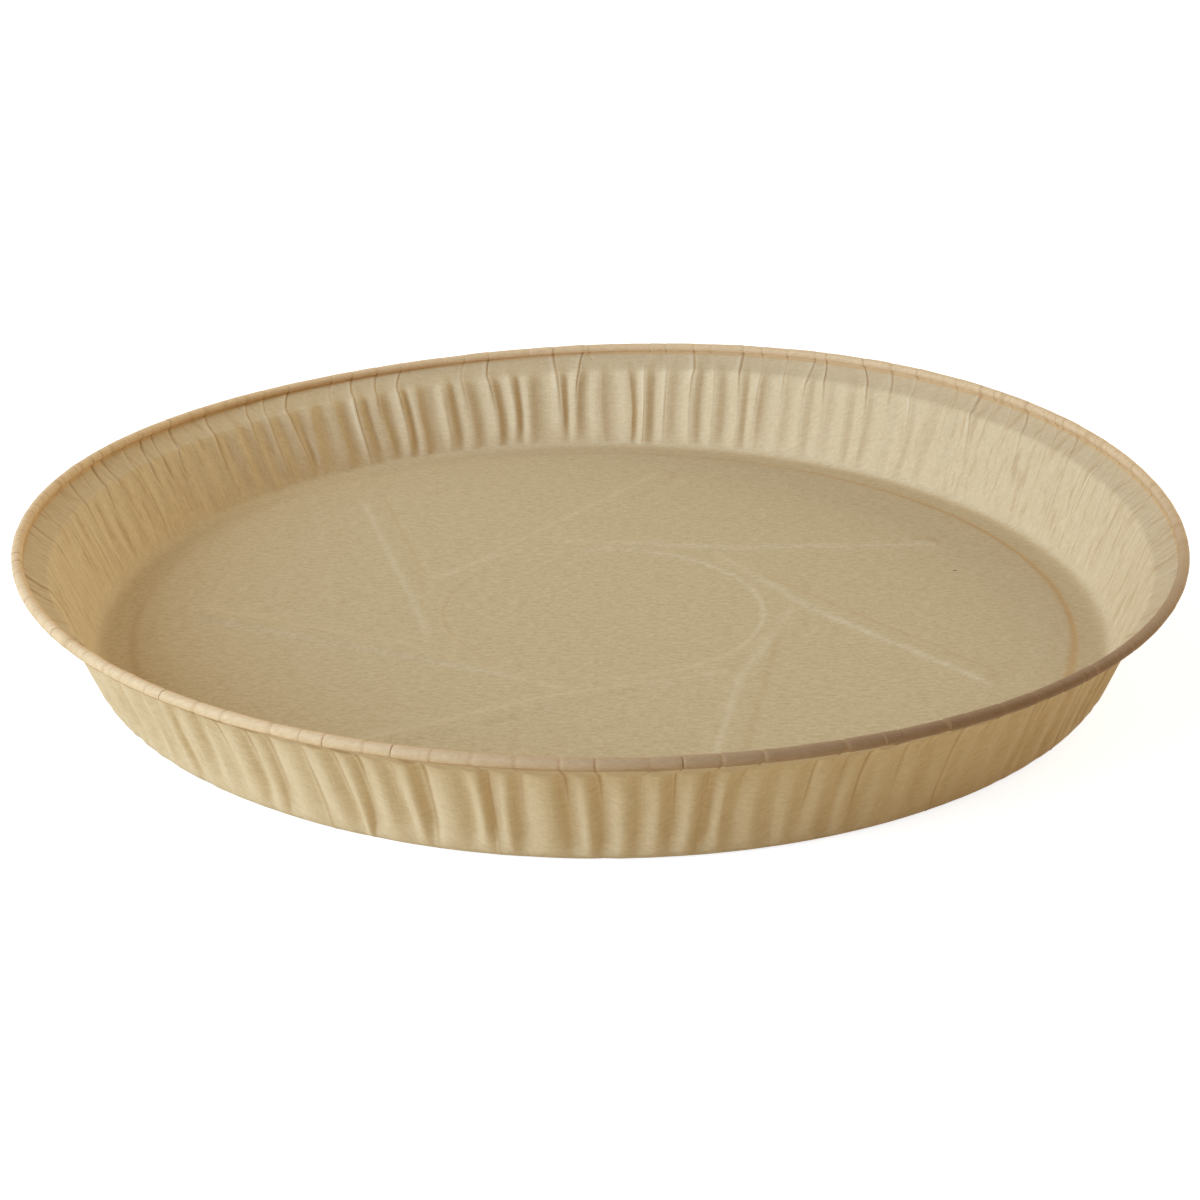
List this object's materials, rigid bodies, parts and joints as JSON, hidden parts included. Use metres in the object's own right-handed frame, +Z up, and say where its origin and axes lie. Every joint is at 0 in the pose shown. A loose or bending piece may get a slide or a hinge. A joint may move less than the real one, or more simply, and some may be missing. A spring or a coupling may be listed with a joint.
{
  "type": "pleated paperboard baking pan",
  "caption": "Shallow round pan pressed from one sheet of kraft board: flat floor with a pinwheel of ribs, pleated sloping wall, and a flange with a rolled edge.",
  "frame": {"origin": "centre of the base, on the plane the pan stands on", "axes": "+Z up out of the pan's open side, -Y towards the viewer of the picture, +X to the right"},
  "size_m": [0.2384, 0.2416, 0.027],
  "materials": {
    "board": "matte uncoated kraft"
  },
  "bodies": {
    "root": {"tray": "board"}
  },
  "joints": []
}
